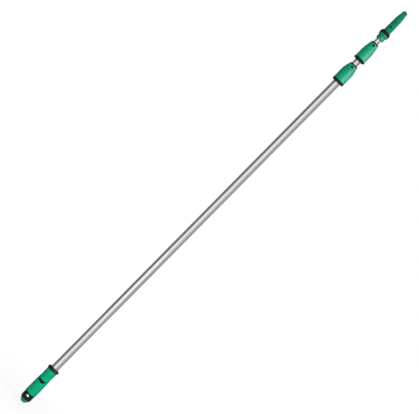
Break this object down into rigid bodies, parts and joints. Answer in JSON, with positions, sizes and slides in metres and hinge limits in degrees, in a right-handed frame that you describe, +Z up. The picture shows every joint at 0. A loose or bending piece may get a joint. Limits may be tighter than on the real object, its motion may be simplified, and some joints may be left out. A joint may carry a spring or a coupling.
{
  "type": "telescopic window cleaning pole",
  "caption": "Three-section telescopic aluminium pole with twist-lock collars, a two-colour hand grip with a hang hole, and a tapered tool cone with a sprung button.",
  "frame": {"origin": "centre of the flat foot of the bottom tip, the lowest point of the pole", "axes": "+Z up the pole towards the tool cone; -Y is the front, where the collar screws and the tool button are, and the hang hole runs along Y"},
  "size_m": [0.045, 0.045, 1.8045],
  "materials": {
    "aluminium_tube": "satin anodised tube",
    "collar_nylon": "smooth moulded green nylon",
    "cone_nylon": "darker moulded green nylon",
    "grip_rubber": "soft green rubber",
    "tip_plastic": "moulded green plastic",
    "black_nylon": "moulded black nylon",
    "black_rubber": "black rubber",
    "bearing_nylon": "natural bearing nylon",
    "steel": "plain steel",
    "steel_black": "blackened steel"
  },
  "bodies": {
    "outer_section": {"end_tip": "tip_plastic", "end_cap": "black_nylon", "cap_pin": "steel", "grip_core": "black_nylon", "grip_shell_lower": "grip_rubber", "grip_shell_upper": "grip_rubber", "grip_bead": "black_rubber", "outer_tube": "aluminium_tube", "lower_clamp_base": "black_nylon", "lower_clamp_rivets": "steel", "lower_collet": "bearing_nylon"},
    "lower_lock": {"lower_collar": "collar_nylon", "lower_top_ring": "black_nylon", "lower_wiper": "black_rubber", "lower_collar_screw": "steel_black"},
    "lower_wedge": {"lower_wedge_ring": "black_nylon"},
    "middle_section": {"middle_tube": "aluminium_tube", "middle_guide_bush": "bearing_nylon", "middle_stop_ring": "bearing_nylon", "middle_stop_pins": "steel", "upper_clamp_base": "black_nylon", "upper_clamp_rivets": "steel", "upper_collet": "bearing_nylon"},
    "upper_lock": {"upper_collar": "collar_nylon", "upper_top_ring": "black_nylon", "upper_wiper": "black_rubber", "upper_collar_screw": "steel_black"},
    "upper_wedge": {"upper_wedge_ring": "black_nylon"},
    "inner_section": {"inner_tube": "aluminium_tube", "inner_guide_bush": "bearing_nylon", "inner_stop_ring": "bearing_nylon", "inner_stop_pins": "steel", "cone_sleeve": "collar_nylon", "cone_stop_ring": "black_rubber", "tool_cone": "cone_nylon", "cone_screw": "steel_black", "button_spring": "steel", "button_plug": "black_nylon"},
    "button": {"tool_button": "black_nylon"}
  },
  "joints": [
    {"name": "lower_lock_turn", "type": "hinge", "parent": "outer_section", "child": "lower_lock", "pos_m": [0, 0, 1.5195], "axis": [0, 0, 1], "range_deg": [0, 90]},
    {"name": "lower_wedge_slide", "type": "slide", "parent": "outer_section", "child": "lower_wedge", "axis": [0, 0, 1], "range_m": [0, 0.002]},
    {"name": "middle_section_slide", "type": "slide", "parent": "outer_section", "child": "middle_section", "axis": [0, 0, 1], "range_m": [0, 1.345]},
    {"name": "upper_lock_turn", "type": "hinge", "parent": "middle_section", "child": "upper_lock", "pos_m": [0, 0, 1.6195], "axis": [0, 0, 1], "range_deg": [0, 90]},
    {"name": "upper_wedge_slide", "type": "slide", "parent": "middle_section", "child": "upper_wedge", "axis": [0, 0, 1], "range_m": [0, 0.002]},
    {"name": "inner_section_slide", "type": "slide", "parent": "middle_section", "child": "inner_section", "axis": [0, 0, 1], "range_m": [0, 1.345]},
    {"name": "tool_button_press", "type": "slide", "parent": "inner_section", "child": "button", "axis": [0, 1, 0], "range_m": [0, 0.0016], "stiffness_N_per_m": 800, "springref_m": -0.002, "deforming": ["button_spring"]}
  ],
  "couplings": [
    {"joint": "lower_lock_turn", "follows": "lower_wedge_slide", "rad_per_m": 785.39},
    {"joint": "upper_lock_turn", "follows": "upper_wedge_slide", "rad_per_m": 785.39}
  ]
}
